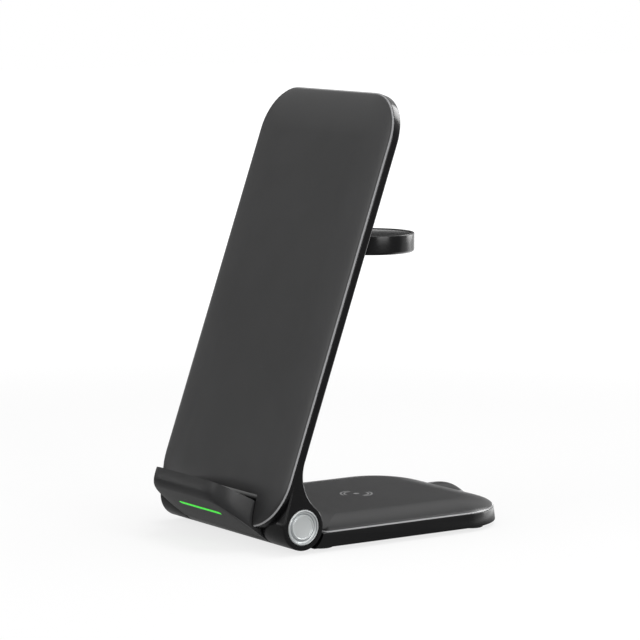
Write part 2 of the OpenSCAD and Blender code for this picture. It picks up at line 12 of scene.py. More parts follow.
import bpy
import numpy as np
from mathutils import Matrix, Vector


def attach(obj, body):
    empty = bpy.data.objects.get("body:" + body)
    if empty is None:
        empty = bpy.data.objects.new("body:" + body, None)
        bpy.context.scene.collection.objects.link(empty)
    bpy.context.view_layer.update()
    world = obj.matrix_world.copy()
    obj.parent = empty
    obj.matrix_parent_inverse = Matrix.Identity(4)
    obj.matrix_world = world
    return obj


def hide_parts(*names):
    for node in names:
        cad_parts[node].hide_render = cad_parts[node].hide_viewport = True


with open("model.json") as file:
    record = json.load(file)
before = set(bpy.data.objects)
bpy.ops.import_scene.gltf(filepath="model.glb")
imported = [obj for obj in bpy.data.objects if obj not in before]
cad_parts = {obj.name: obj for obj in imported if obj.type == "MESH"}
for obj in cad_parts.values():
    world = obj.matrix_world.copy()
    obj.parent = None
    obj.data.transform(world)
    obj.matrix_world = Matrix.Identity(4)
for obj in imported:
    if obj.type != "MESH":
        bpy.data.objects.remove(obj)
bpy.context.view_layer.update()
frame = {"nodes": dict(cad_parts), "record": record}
record = frame["record"]

# %% [markdown]
# ## Directions of the stand
# The panel and its arm turn about two pins, and both pins are in the record. Every piece
# could be drawn flat and turned into place, but its place belongs in its mesh. So three
# small functions turn millimetres from the main pin into points, because such numbers are
# the ones that a caliper would give. On the panel, `n` counts forwards out of its face
# and `s` counts up along it.

# %% The pins and the panel's own directions
hinges = {j["name"]: np.array(j["pos_m"]) * 1000 for j in record["behaviour"]["joints"]}
AXIS = hinges["panel_fold"]
ARM = hinges["watch_flip"]
LEAN = math.radians(19.7)
COS, SIN = math.cos(LEAN), math.sin(LEAN)


def on_base(x, y, z):
    """Stacks x, y from the main pin and z from the desk into points in metres."""
    x, y, z = np.broadcast_arrays(x, y, z)
    return np.stack([x, y + AXIS[1], z], axis=-1) / 1000


def on_panel(x, n, s):
    """Turns (x, n, s) into points in metres: y = s sin L - n cos L, z = s cos L + n sin L."""
    x, n, s = np.broadcast_arrays(x, n, s)
    return on_base(x, s * SIN - n * COS, AXIS[2] + s * COS + n * SIN)


def on_arm(x, y, z):
    """Moves points that are counted from the arm's own pin to their place, in metres."""
    x, y, z = np.broadcast_arrays(x, y, z)
    return np.stack([x, y + ARM[1], z + ARM[2]], axis=-1) / 1000


print("main pin at", AXIS.round(2), "arm pin at", ARM.round(2))

# %% [markdown]
# ## Sizes that pieces share
# Where two pieces meet, they use the same number. It gets one name here, so that a seam
# stays a seam when the number changes.

# %% Shared sizes, in millimetres
HALF = 38.0  # half of the stand's width
RIM = 9.44  # n of the edge between the frame and the face
BACK = 6.47  # n of the frame's rear side
NOTCH_TOP = 6.05  # s of the notch's upper edge in the panel's foot
EAR_START = 24.0  # x at which the knuckle ends and the ears begin
EAR_R = 7.6  # radius of the knuckle and of the ears round the pin
TRAY_LOW, TRAY_TOP = 1.45, 6.1  # underside and upper edge of the base's tray
TRAY_BACK = 88.3  # from the main pin to the base's rear edge
SHARP = math.radians(30)  # an edge that bends by more than this is shown sharp
print("stand is", 2 * HALF, "mm wide")

# %% [markdown]
# ## Camera
# The picture was taken with a long lens from the right and a little above. A camera can
# be aimed with a constraint or with plain angles. Angles are used, because they came out
# of the picture's own perspective and need no target. The camera is placed first, so that
# every later step can be looked at from there.

# %% Camera
ABOVE, ROUND = 7.19, 55.72  # degrees above the desk and round to the right
camera = bpy.data.cameras.new("camera")
camera.lens = 175.0
camera.sensor_width = 36.0
camera.clip_end = 20
viewer = bpy.data.objects.new("camera", camera)
bpy.context.scene.collection.objects.link(viewer)
viewer.location = (0.8508, (-547.8 + AXIS[1]) / 1000, 0.19965)
viewer.rotation_euler = (math.radians(90 - ABOVE), 0, math.radians(ROUND))
bpy.context.scene.camera = viewer
bpy.context.scene.view_settings.view_transform = "Standard"
print("camera at", [round(v, 3) for v in viewer.location])

# %% [markdown]
# ## Floor
# A product picture like this one is made on a white sweep of paper. A curved backdrop
# could be built, but the floor here is one plain square, because the camera looks down a
# little and the white world takes over where the floor ends.

# %% Floor
floor_mesh = bpy.data.meshes.new("floor")
corners = np.array([[-3, -3, 0], [3, -3, 0], [3, 3, 0], [-3, 3, 0]], float)
floor_mesh.from_pydata(corners.tolist(), [], [(0, 1, 2, 3)])
floor = bpy.data.objects.new("floor", floor_mesh)
bpy.context.scene.collection.objects.link(floor)
print("floor:", corners[:, 0].max() * 2, "m wide")


# %% [markdown]
# ## Shader maths
# Finishes are built from numbers that change over a surface. They could be wired up node
# by node, which is long and hard to read. The small class below wraps a shader socket
# instead, so that such a number can be written as plain Python maths, and every sign adds
# one Math node.

# %% Numbers on a surface
class Field:
    """A shader socket that understands + - * and a few functions."""

    def __init__(self, tree, socket):
        self.tree, self.socket = tree, socket

    def math(self, operation, *others, swap=False):
        node = self.tree.nodes.new("ShaderNodeMath")
        node.operation = operation
        terms = [self, *others]
        if swap:
            terms.reverse()
        for slot, term in zip(node.inputs, terms):
            if isinstance(term, Field):
                self.tree.links.new(term.socket, slot)
            else:
                slot.default_value = term
        return Field(self.tree, node.outputs[0])

    def __add__(self, other):
        return self.math("ADD", other)

    def __sub__(self, other):
        return self.math("SUBTRACT", other)

    def __rsub__(self, other):
        return self.math("SUBTRACT", other, swap=True)

    def __mul__(self, other):
        return self.math("MULTIPLY", other)

    def __neg__(self):
        return self.math("MULTIPLY", -1.0)

    __radd__ = __add__
    __rmul__ = __mul__

    def size(self):
        """The number without its sign."""
        return self.math("ABSOLUTE")

    def root(self):
        return self.math("SQRT")

    def step(self, low, high):
        """0 below low, 1 above high, and a smooth rise between them."""
        node = self.tree.nodes.new("ShaderNodeMapRange")
        node.interpolation_type = "SMOOTHSTEP"
        self.tree.links.new(self.socket, node.inputs[0])
        node.inputs[1].default_value, node.inputs[2].default_value = low, high
        return Field(self.tree, node.outputs[0])


print("a Field knows:", ", ".join(k for k in vars(Field) if not k.startswith("_")))

# %% [markdown]
# ## Finishes
# A finish is a material with one Principled shader. What is the same all over a part, such
# as its specular level, is set on the shader's own socket. Only what changes over the part
# goes through nodes, because an export of the model would then have less to bake.

# %% A material that is built call by call
class Finish:
    """A material whose nodes are added one call at a time."""

    def __init__(self, name, colour, roughness, metallic=0.0, specular=0.5):
        self.material = bpy.data.materials.new(name)
        self.material.use_nodes = True
        self.material.diffuse_color = (*colour, 1)
        self.tree = self.material.node_tree
        self.shader = self.tree.nodes["Principled BSDF"]
        self.shader.inputs["Base Color"].default_value = (*colour, 1)
        self.shader.inputs["Roughness"].default_value = roughness
        self.shader.inputs["Metallic"].default_value = metallic
        self.shader.inputs["Specular IOR Level"].default_value = specular

    def node(self, kind, settings=None, values=None, out=0):
        """Adds any node: its settings first, then the values or links of its sockets."""
        made = self.tree.nodes.new(kind)
        for key, value in (settings or {}).items():
            setattr(made, key, value)
        for key, value in (values or {}).items():
            if isinstance(value, Field):
                self.tree.links.new(value.socket, made.inputs[key])
            else:
                made.inputs[key].default_value = value
        return Field(self.tree, made.outputs[out])

    def place(self):
        """The point on the surface in metres, as a vector and as x, y and z."""
        point = self.node("ShaderNodeTexCoord", out=3)
        parts = self.tree.nodes.new("ShaderNodeSeparateXYZ")
        self.tree.links.new(point.socket, parts.inputs[0])
        return point, *[Field(self.tree, parts.outputs[i]) for i in range(3)]

    def noise(self, point, scale, detail=2.0, rough=0.5):
        return self.node(
            "ShaderNodeTexNoise",
            values={"Vector": point, "Scale": scale, "Detail": detail, "Roughness": rough},
        )

    def blend(self, mask, first, second):
        """A colour that goes from first to second as the mask goes from 0 to 1."""
        mixed = self.tree.nodes.new("ShaderNodeMix")
        mixed.data_type = "RGBA"
        self.tree.links.new(mask.socket, mixed.inputs[0])
        for slot, value in ((6, first), (7, second)):
            if isinstance(value, Field):
                self.tree.links.new(value.socket, mixed.inputs[slot])
            else:
                mixed.inputs[slot].default_value = (*value, 1)
        return Field(self.tree, mixed.outputs[2])

    def feed(self, socket, value):
        self.tree.links.new(value.socket, self.shader.inputs[socket])

    def fed(self, socket):
        """What already goes into a socket of the shader."""
        return Field(self.tree, self.shader.inputs[socket].links[0].from_socket)

    def bump(self, height, distance):
        self.feed("Normal", self.node("ShaderNodeBump",
                                      values={"Height": height, "Distance": distance}))


FINE, CLOUDS = 9000.0, 60.0  # noise cells per metre


def grained(name, colour, roughness, grain=1.0, depth=0.00001, **more):
    """Moulded plastic: a fine grain in the height, and faint cloudiness in the gloss."""
    finish = Finish(name, colour, roughness, **more)
    point = finish.place()[0]
    cloud = finish.noise(point, CLOUDS, 3.0)
    finish.bump(finish.noise(point, FINE * grain, 1.0), depth)
    finish.feed("Roughness", cloud * 0.08 + (roughness - 0.04))
    tint = [min(1, c * 1.12) for c in colour]
    finish.feed("Base Color", finish.blend(cloud.step(0.35, 0.65), colour, tint))
    return finish


print("grain:", 1000 / FINE, "mm")

# %% [markdown]
# ## Light on the sweep
# In a studio, black cards beside a glossy object give its sides a dark reflection, and a
# lit patch gives them a bright one. Real boards could stand round the model, but they
# would show in other views and throw shadows. So the cards are written into the floor and
# the world for mirrored rays alone, and they shape reflections and nothing else.

# %% Floor finish
def rays(tree, *kinds):
    """1 for the named kinds of ray, such as "Is Camera Ray", otherwise 0."""
    path = tree.nodes.new("ShaderNodeLightPath")
    first, *rest = [Field(tree, path.outputs[kind]) for kind in kinds]
    for other in rest:
        first = first.math("MAXIMUM", other)
    return first


SHOWN = ("Is Camera Ray", "Is Transmission Ray", "Is Glossy Ray")
WHITE, SOFT_WHITE, CARD = (0.86, 0.86, 0.86), (0.24, 0.24, 0.24), (0.02, 0.02, 0.02)
sweep = Finish("white_sweep", WHITE, 0.9, specular=0.0)
sweep.shader.inputs["Emission Color"].default_value = (1, 1, 1, 1)
point, x, y, z = sweep.place()
shown = rays(sweep.tree, *SHOWN)
mirrored = rays(sweep.tree, "Is Glossy Ray")
# cards in front of the base, to its left and beside its right rear corner
front_card = (1 - y.step(0.05, 0.09)) * 0.68
left_card = (1 - y.step(0.05, 0.3)) * (x * -0.98 + y * -0.2).step(0.05, 0.2) * 0.28
right_card = (x - y * 0.6).step(0.02, 0.12) * y.step(0.05, 0.09) * 0.75
carded = mirrored * (front_card + left_card + right_card)
# a lit patch behind the base
patch = mirrored * y.step(0.07, 0.1) * (1 - x.size().step(0.08, 0.16)) * 1.6
distance = (x * x + y * y).root().step(0.25, 0.9)
plain = sweep.blend(shown, WHITE, SOFT_WHITE)
sweep.feed("Base Color", sweep.blend(carded, plain, CARD))
sweep.feed("Emission Strength", shown * (0.77 + distance * 0.3) * (1 - carded) + patch)
floor_mesh.materials.append(sweep.material)
print("floor finish:", len(sweep.tree.nodes), "nodes")

# %% World
LIGHT_LEVEL = 0.5  # how strongly the world lights the stand
world = bpy.data.worlds.new("studio")
bpy.context.scene.world = world
world.use_nodes = True
sky = world.node_tree.nodes["Background"]
sky.inputs["Color"].default_value = (1, 1, 1, 1)
way = world.node_tree.nodes.new("ShaderNodeTexCoord")
split = world.node_tree.nodes.new("ShaderNodeSeparateXYZ")
world.node_tree.links.new(way.outputs["Generated"], split.inputs[0])
wx, wy, wz = (Field(world.node_tree, split.outputs[i]) for i in range(3))
# the left card has a lighter front half, and a gap near the floor behind the stand
left = (-wx).step(0.6, 0.8)
low = 1 - wz.step(0.28, 0.42)
behind = wy.step(-0.15, 0.2)
over = (1 - wy.step(0.66, 0.88)) * wz.step(0.03, 0.09)
card_left = left * low * ((1 - behind) * 0.6 + behind * over * 0.95)
card_front = (-wy).step(0.1, 0.4) * (1 - wz.step(0.06, 0.16)) * 0.85
card_right = wx.step(0.55, 0.7) * wy.step(0.2, 0.4) * (1 - wz.step(0.3, 0.5)) * 0.6
cards = card_left.math("MAXIMUM", card_front).math("MAXIMUM", card_right)
shown = rays(world.node_tree, *SHOWN)
mirrored = rays(world.node_tree, "Is Glossy Ray")
level = shown * (1 - mirrored * cards) + (1 - shown) * LIGHT_LEVEL
world.node_tree.links.new(level.socket, sky.inputs["Strength"])
print("world:", len(world.node_tree.nodes), "nodes")

# %% [markdown]
# ## Lamps
# Large soft boxes hang above, to the right and in front. Sun or point lamps would be
# quicker, but they give hard shadows and small round highlights. Three more boxes are
# seen in reflections only. They draw the bright bands on edges and on the lip, and leave
# the brightness of plain surfaces as it is.

# %% Softboxes
def softbox(name, place, aim, width, height, power, glint=False):
    """A lamp of the given width and height, in metres, that looks at (0, 0, aim).

    A glint lamp is seen in reflections only: it draws highlights and adds no light.
    """
    lamp = bpy.data.lights.new(name, "AREA")
    lamp.shape, lamp.energy = "RECTANGLE", power
    lamp.size, lamp.size_y = width, height
    box = bpy.data.objects.new(name, lamp)
    bpy.context.scene.collection.objects.link(box)
    box.location = place
    away = box.location - Vector((0, 0, aim))
    box.rotation_euler = away.to_track_quat("Z", "Y").to_euler()
    box.visible_diffuse = not glint
    return box


softbox("lamp_top", (0.15, 0.25, 0.95), 0.05, 0.7, 0.7, 3.2)
softbox("lamp_right", (1.0, 0.0, 0.26), 0.08, 0.5, 0.35, 5.0)
softbox("lamp_front", (-0.05, -1.0, 0.6), 0.08, 0.7, 0.7, 2.2)
softbox("glint_back", (0.06, 1.0, 0.72), 0.1, 0.7, 0.5, 13.0, glint=True)
softbox("glint_low", (0.0, 1.15, 0.1), 0.02, 0.6, 0.16, 2.0, glint=True)
softbox("glint_lip", (-1.0, -0.68, 0.08), 0.01, 0.4, 0.1, 0.36, glint=True)
print("lamps:", len(bpy.data.lights))

# %% [markdown]
# ## Surfaces from arrays
# A piece is a stack of closed loops, each with the same number of points. Neighbouring
# loops are joined by four-sided faces and the two ends are closed by one face each. The
# pieces could be modelled by hand from cubes and cylinders, but here every curve follows
# a formula, and the whole stack is worked out as one array.

# %% From loops to a piece
def closed_mesh(name, points, faces):
    """A mesh whose faces look outwards: a form that is inside out has a negative volume."""
    flat = points.reshape(-1, 3)
    mesh = bpy.data.meshes.new(name)
    mesh.from_pydata(flat.tolist(), [], faces)
    mesh.validate()
    mesh.calc_loop_triangles()
    corner = np.zeros(len(mesh.loop_triangles) * 3, int)
    mesh.loop_triangles.foreach_get("vertices", corner)
    a, b, c = flat[corner.reshape(-1, 3)].transpose(1, 0, 2)
    if np.einsum("ij,ij->i", a, np.cross(b, c)).sum() < 0:
        mesh.flip_normals()
    return mesh


def piece(name, points, faces, body, finish):
    """Makes a mesh object from points in metres, and says what it moves with."""
    mesh = closed_mesh(name, points, faces)
    mesh.polygons.foreach_set("use_smooth", np.ones(len(mesh.polygons), bool))
    mesh.set_sharp_from_angle(angle=SHARP)
    mesh.materials.append(finish.material)
    made = bpy.data.objects.new(name, mesh)
    bpy.context.scene.collection.objects.link(made)
    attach(made, body)
    print(f"{name}: {len(mesh.polygons)} faces, rides on {body}")
    return made


def stack_faces(rows, cols, ends=True):
    """Four-sided faces between neighbouring loops, with the winding outwards."""
    i, j = np.meshgrid(np.arange(rows - 1), np.arange(cols), indexing="ij")
    k = (j + 1) % cols
    quads = [i * cols + j, i * cols + k, (i + 1) * cols + k, (i + 1) * cols + j]
    faces = np.stack(quads, axis=-1).reshape(-1, 4).tolist()
    if ends:
        faces.append(list(range(cols))[::-1])
        faces.append(list(range((rows - 1) * cols, rows * cols)))
    return faces


def last_to_first(rows, cols):
    """Faces that join the last loop of a stack to its first one."""
    j = np.arange(cols)
    k = (j + 1) % cols
    last = (rows - 1) * cols
    return np.stack([last + j, last + k, k, j], axis=-1).tolist()


def loft(name, loops, body, finish):
    """A piece from an array of loops, shaped (loops, points, 3)."""
    return piece(name, loops, stack_faces(*loops.shape[:2]), body, finish)


print("faces of a small stack:", len(stack_faces(3, 8)))


# %% Outlines and profiles
def soft_rect(hx, a, b, ra, rb, inset, steps=14):
    """Loop of a rounded rectangle: corner centre + (radius - inset) (cos t, sin t).

    It runs anticlockwise from the lower right corner; ra and rb are the radii of the
    lower and upper corners, and inset may be an array, which gives one loop for each.
    """
    smallest = 0.2
    inset = np.atleast_1d(inset)[:, None]
    t = np.concatenate([np.linspace(q, q + 90, steps) for q in (-90, 0, 90, 180)])
    t = np.radians(t)
    r = np.repeat([ra, rb, rb, ra], steps)
    lower = np.repeat([1, 0, 0, 1], steps)
    cx = np.repeat([1, 1, -1, -1], steps) * (hx - r)
    cy = np.where(lower, a + r, b - r)
    left = np.maximum(r - inset, smallest)
    # a corner that the inset has used up moves inwards with the sides
    over = np.maximum(inset - (r - smallest), 0)
    cx = cx - np.sign(cx) * over
    cy = cy + np.where(lower, over, -over)
    return cx + left * np.cos(t), cy + left * np.sin(t)


def turned(profile, steps=96):
    """Loops of a turned part: each (r, h) of the profile becomes a circle at height h."""
    r, h = np.array(profile, float).T
    t = np.radians(np.arange(steps) * 360 / steps)
    return r[:, None] * np.cos(t), r[:, None] * np.sin(t), np.repeat(h[:, None], steps, 1)


def rounded(points, radius, steps=5):
    """Rounds each inner corner of an open profile with an arc-like curve.

    Near a corner the line bends along (1-t)^2 a + 2t(1-t) corner + t^2 b.
    """
    points = np.array(points, float)
    out = [points[:1]]
    t = np.linspace(0, 1, steps)[:, None]
    for before, corner, after in zip(points[:-2], points[1:-1], points[2:]):
        back, ahead = before - corner, after - corner
        reach = min(radius, np.linalg.norm(back) / 2, np.linalg.norm(ahead) / 2)
        a = corner + back / np.linalg.norm(back) * reach
        b = corner + ahead / np.linalg.norm(ahead) * reach
        out.append((1 - t) ** 2 * a + 2 * t * (1 - t) * corner + t**2 * b)
    out.append(points[-1:])
    return np.concatenate(out)


print("points of a rounded rectangle:", soft_rect(1, 0, 1, 0.3, 0.3, 0.0)[0].size)


# %% Cutting
def box_cutter(name, low, high, place):
    """A box between two corners, kept only to cut others with."""
    c = np.array([[x, y, z] for x in (0, 1) for y in (0, 1) for z in (0, 1)], float)
    c = np.array(low) + c * (np.array(high) - np.array(low))
    faces = [(0, 1, 3, 2), (4, 6, 7, 5), (0, 4, 5, 1),
             (2, 3, 7, 6), (0, 2, 6, 4), (1, 5, 7, 3)]
    return closed_mesh(name, place(*c.T), faces)


def bar(name, radius, x0, x1, y, z, steps=72):
    """A cutter: a round bar along X, counted from the main pin and the desk."""
    rx, ry, rh = turned([(radius, x0), (radius, x1)], steps)
    return closed_mesh(name, on_base(rh, y + rx, z + ry), stack_faces(2, steps))


def prism(name, x, n, low, high):
    """A cutter: the plan (x, n) carried from one height on the panel to another."""
    points = on_panel(x, n, np.array([[low], [high]]))
    return closed_mesh(name, points, stack_faces(2, len(x)))


def carve(target, *cutters):
    """Takes the closed cutter meshes out of a piece, for good."""
    for mesh in cutters:
        tool = bpy.data.objects.new(mesh.name, mesh)
        bpy.context.scene.collection.objects.link(tool)
        cut = target.modifiers.new("cut", "BOOLEAN")
        cut.object, cut.operation, cut.solver = tool, "DIFFERENCE", "EXACT"
        graph = bpy.context.evaluated_depsgraph_get()
        result = bpy.data.meshes.new_from_object(target.evaluated_get(graph))
        target.modifiers.clear()
        target.data = result
        bpy.data.objects.remove(tool)
    target.data.set_sharp_from_angle(angle=SHARP)
    print(f"{target.name}: {len(target.data.polygons)} faces after cutting")
    return target


print("cutters: box, bar and prism")

# %% [markdown]
# ## Plastics
# The face of the panel, the top of the base and the ledge are moulded in dark grey plastic
# with a satin sheen. The frame, the base's tray and the watch disc are gloss black, which
# shows up as dark sides with thin bright edges. An image of the grain would blur close up,
# so the grain is noise in the bump.

# %% Plastics
satin_face = grained("satin_face", (0.0205, 0.0205, 0.021), 0.34, specular=0.4)
# painted shade: the base's top is the face's satin plastic, coloured a little darker and given
# less specular, so that the top reads darker under the light it catches
satin_top = grained("satin_top", (0.0185, 0.0185, 0.019), 0.32, specular=0.14)
satin_ledge = grained("satin_ledge", (0.021, 0.021, 0.0215), 0.34, specular=0.25)
gloss_black = grained("gloss_black", (0.004, 0.004, 0.0043), 0.2, depth=0.000001,
                      specular=0.25)
lid_gloss = grained("lid_gloss", (0.02, 0.02, 0.021), 0.12, depth=0.0000005, specular=0.6)
matt_black = grained("matt_black", (0.016, 0.016, 0.017), 0.5, specular=0.4)
rubber = grained("rubber_feet", (0.014, 0.014, 0.015), 0.75, grain=0.4, depth=0.00003)
board_green = grained("board_green", (0.01, 0.11, 0.05), 0.45, depth=0.000004)
print("finishes so far:", len(bpy.data.materials))

# %% [markdown]
# ## Polished edge with a painted highlight
# On the real stand a narrow polished bevel runs round the face and round the base's top.
# It could be a piece of its own, but it is part of the same moulding, and it lies between
# two heights. So a mask on the height makes the finish smoother there, and also paints it
# a much lighter grey: a painted highlight for the thin bright line that light draws along it.

# %% Polished edge with a painted highlight
def polish_with_painted_highlight(finish, height, low, high, colour, roughness):
    """Where the height is between low and high, the surface is smoother, and its colour is
    made lighter as a painted highlight.
    """
    blur = 0.00004
    mask = height.step(low - blur, low) * (1 - height.step(high - blur, high))
    finish.feed("Base Color", finish.blend(mask, finish.fed("Base Color"), colour))
    finish.feed("Roughness", finish.fed("Roughness") * (1 - mask) + mask * roughness)


# from where to where the bevels reach, in metres: out of the face, and above the desk
FACE_BEVEL, TOP_BEVEL = (0.00951, 0.00993), (0.00617, 0.00659)
point, x, y, z = satin_face.place()
forward = (z - AXIS[2] / 1000) * SIN - (y - AXIS[1] / 1000) * COS
# the light grey on the face's bevel is a painted highlight
polish_with_painted_highlight(satin_face, forward, *FACE_BEVEL, (0.26, 0.26, 0.265), 0.2)
point, x, y, z = satin_top.place()
# the light grey on the top's bevel is a painted highlight
polish_with_painted_highlight(satin_top, z, *TOP_BEVEL, (0.32, 0.32, 0.325), 0.2)
print("bevels:", [round((b - a) * 1000, 2) for a, b in (FACE_BEVEL, TOP_BEVEL)], "mm")

# %% [markdown]
# ## Sign on the base
# A small printed sign marks the spot for the earbud case. Printed ink has no thickness to
# speak of, so it is drawn in the finish from two radii and an angle. A text or an image
# would need a font or a file. The sign is a plain one of this lesson's own.

# %% Sign on the base
def sign(finish, x, y, radii, width, colour):
    """Two pairs of arcs and a dot, turned by 45 degrees.

    An arc is where r is near a radius and |x| tan 50 is larger than |y|.
    """
    x, y = (x + y) * math.sqrt(0.5), (y - x) * math.sqrt(0.5)
    r = (x * x + y * y).root()
    sides = (x.size() * math.tan(math.radians(50)) - y.size()).step(0.0, 0.0002)
    mask = 1 - r.step(0.0009, 0.0011)
    for radius in radii:
        ring = 1 - (r - radius).size().step(width * 0.6, width)
        mask = mask.math("MAXIMUM", ring * sides)
    finish.feed("Base Color", finish.blend(mask, finish.fed("Base Color"), colour))


BUD_SPOT = 0.047  # metres from the main pin
sign(satin_top, x, y - (BUD_SPOT + AXIS[1] / 1000), (0.0041, 0.0053), 0.00036,
     (0.34, 0.34, 0.34))
print("nodes of the top's finish:", len(satin_top.tree.nodes))

# %% [markdown]
# ## Hidden nodes
# Coils, boards and screws sit inside, but they are part of the model. New surfaces for
# them would never be seen, so each keeps its CAD shape and gets a finish of its own, in
# the metals and greys of such parts.

# %% Metals
bright_steel = grained("bright_steel", (0.56, 0.56, 0.58), 0.3, depth=0.000002, metallic=1.0)
copper = grained("copper_wire", (0.62, 0.26, 0.12), 0.35, depth=0.000004, metallic=1.0)
ferrite = grained("ferrite_grey", (0.035, 0.035, 0.04), 0.7)
print("finishes so far:", len(bpy.data.materials))

# %% CAD nodes that keep their shape
inner = {
    bright_steel: ["base_screws", "board_screws", "ledge_fixings", "cover_fixings",
                   "bracket_screws", "hinge_pin_left", "hinge_pin_right", "arm_pin",
                   "washer_left", "washer_right", "ballast", "usb_inlet", "watch_magnet"],
    copper: ["bud_coil", "phone_coil_low", "phone_coil_high", "watch_coil"],
    ferrite: ["bud_ferrite", "phone_ferrite", "watch_ferrite"],
    board_green: ["main_board", "panel_board", "light_board"],
    matt_black: ["back_cover", "arm_bracket", "ledge_pad"],
}
for finish, names in inner.items():
    for name in names:
        node = frame["nodes"][name]
        node.data.materials.clear()
        node.data.materials.append(finish.material)
print("finished", sum(len(v) for v in inner.values()), "inner nodes")

# %% [markdown]
# ## The panel's face
# The face is a thin shell whose edges roll over, as on a mouse or a bar of soap. A cube
# with a Bevel modifier gives an edge of one radius, and this one is wide and flat. So
# each loop is the panel's outline moved inwards and raised along one curve. The same
# loops, one wall further in, are the inside, and the two meet at the edge.

# %% Crowned shells
def crowned_shell(outline, zone, crown, wall, place, power=1.6, steps=24):
    """Outer loops from the edge to the middle, then inner loops back to the edge.

    With v from 0 at the edge to 1 at the flat middle, the crown's section is
    inset = zone v, height = crown (1 - (1 - v)^power)^(1 / power). A small bevel leads up
    to it, and the inside is the same curve with the wall taken off.
    """
    bevel_in, bevel_up = 0.45, 0.5
    v = np.linspace(0.02, 1, steps) ** 1.5
    rise = (1 - (1 - v) ** power) ** (1 / power)
    edge_in = [0.12, 0.0, 0.0, bevel_in]
    edge_up = [0.0, 0.05, 0.08, bevel_up]
    inset = np.concatenate([edge_in, bevel_in + (zone - bevel_in) * v,
                            (wall + (zone - wall / 2) * v)[::-1]])
    height = np.concatenate([edge_up, bevel_up + (crown - bevel_up) * rise,
                             ((crown - wall) * rise)[::-1]])
    px, py = soft_rect(**outline, inset=inset)
    return place(px, height[:, None], py), len(edge_in) + steps


def shell(name, loops, middle, body, finish):
    """A stack of `middle` outer loops and the rest inner ones, closed along the edge."""
    rows, cols = loops.shape[:2]
    faces = stack_faces(middle, cols, ends=False)
    faces.append(list(range((middle - 1) * cols, middle * cols)))
    low = stack_faces(rows - middle, cols, ends=False)
    faces += [[i + middle * cols for i in f] for f in low]
    faces.append([i + middle * cols for i in range(cols)][::-1])
    faces += last_to_first(rows, cols)
    return piece(name, loops, faces, body, finish)


WALL = 1.5
print("shell wall:", WALL, "mm")

# %% Face shell
PANEL = dict(hx=HALF, a=-4.5, b=142.45, ra=17.0, rb=15.5)
CROWN = 2.6  # how far the face's middle rises over its edge
NOTCH_HALF = 24.5  # half the width of the notch that the ledge stands in
face_loops, outer = crowned_shell(PANEL, zone=15.5, crown=CROWN, wall=WALL,
                                  place=lambda x, h, s: on_panel(x, RIM + h, s))
face = shell("panel_face", face_loops, outer, "panel", satin_face)
carve(face, box_cutter("notch", (-NOTCH_HALF, 0, -20), (NOTCH_HALF, 30, NOTCH_TOP), on_panel))
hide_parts("front_skin")
print("face rises to n =", round(RIM + CROWN, 2))

# %% [markdown]
# ## The frame round the panel
# Behind the face runs a gloss black band. It could be the panel's outline with a Solidify
# modifier, but its edges are softened a little, because a sharp edge would show no
# highlight. So a small rounded section is carried round the outline.

# %% Band
seam_in, seam_mid = 2.0, 8.0
front_edge = rounded([(0.0, seam_mid), (0.0, RIM), (seam_in, RIM)], 0.25)
rear_edge = rounded([(seam_in, BACK), (0.0, BACK), (0.0, seam_mid)], 0.7)
section = np.concatenate([rear_edge, front_edge[1:]])
sx, sy = soft_rect(**PANEL, inset=section[:, 0], steps=20)
rows, cols = sx.shape
faces = stack_faces(rows, cols, ends=False) + last_to_first(rows, cols)
band = piece("panel_band", on_panel(sx, section[:, 1][:, None], sy), faces, "panel",
             gloss_black)
carve(band, box_cutter("gap", (-NOTCH_HALF, -20, -20), (NOTCH_HALF, 30, NOTCH_TOP), on_panel))

# %% [markdown]
# ## The ears
# An ear is a round boss at the pin that runs up into the frame, with a hollow curve at
# the back that clears the base when the stand is folded. It could be cut from a block
# with cylinders. A drawn outline is smoother: it is a few straight lines and arcs, it is
# carried across the ear, and its rim is rounded by moving it along its own normals.

# %% Ear outline
HOLLOW = 14.0  # radius of the hollow curve at the back


def ear_outline(steps=40):
    """Open line in (n, s): up the hollow at the back, round the boss, up the front."""
    top = math.sqrt((EAR_R + HOLLOW) ** 2 - (HOLLOW - BACK) ** 2)
    centre = np.array([BACK - HOLLOW, top])
    meet = math.atan2(-centre[1], -centre[0])
    t = np.linspace(0, meet, steps)
    hollow = centre + HOLLOW * np.stack([np.cos(t), np.sin(t)], -1)
    touch = math.atan2(centre[1], centre[0])
    u = np.linspace(touch, 2 * math.pi, steps * 2)
    boss = EAR_R * np.stack([np.cos(u), np.sin(u)], -1)
    front = np.array([(8.2, 9.3), (RIM, 17.0), (RIM, top)])
    front = rounded(np.concatenate([[boss[-1]], front]), 3.0, 7)[1:]
    into_frame = top + 4
    return np.concatenate([[[BACK, into_frame]], hollow, boss[1:], front,
                           [[RIM, into_frame]]])


def normals_of(line):
    """Left-hand normals of an open line: its tangent turned by a quarter turn."""
    tangent = np.gradient(line, axis=0)
    tangent /= np.linalg.norm(tangent, axis=1, keepdims=True)
    return np.stack([-tangent[:, 1], tangent[:, 0]], -1)


outline = ear_outline()
inward = normals_of(outline)
inward[[0, -1], 1] = 0
print("ear outline:", len(outline), "points")

# %% Ears
SEAT_R, SEAT_X = 6.0, 35.0  # recess for the round cover


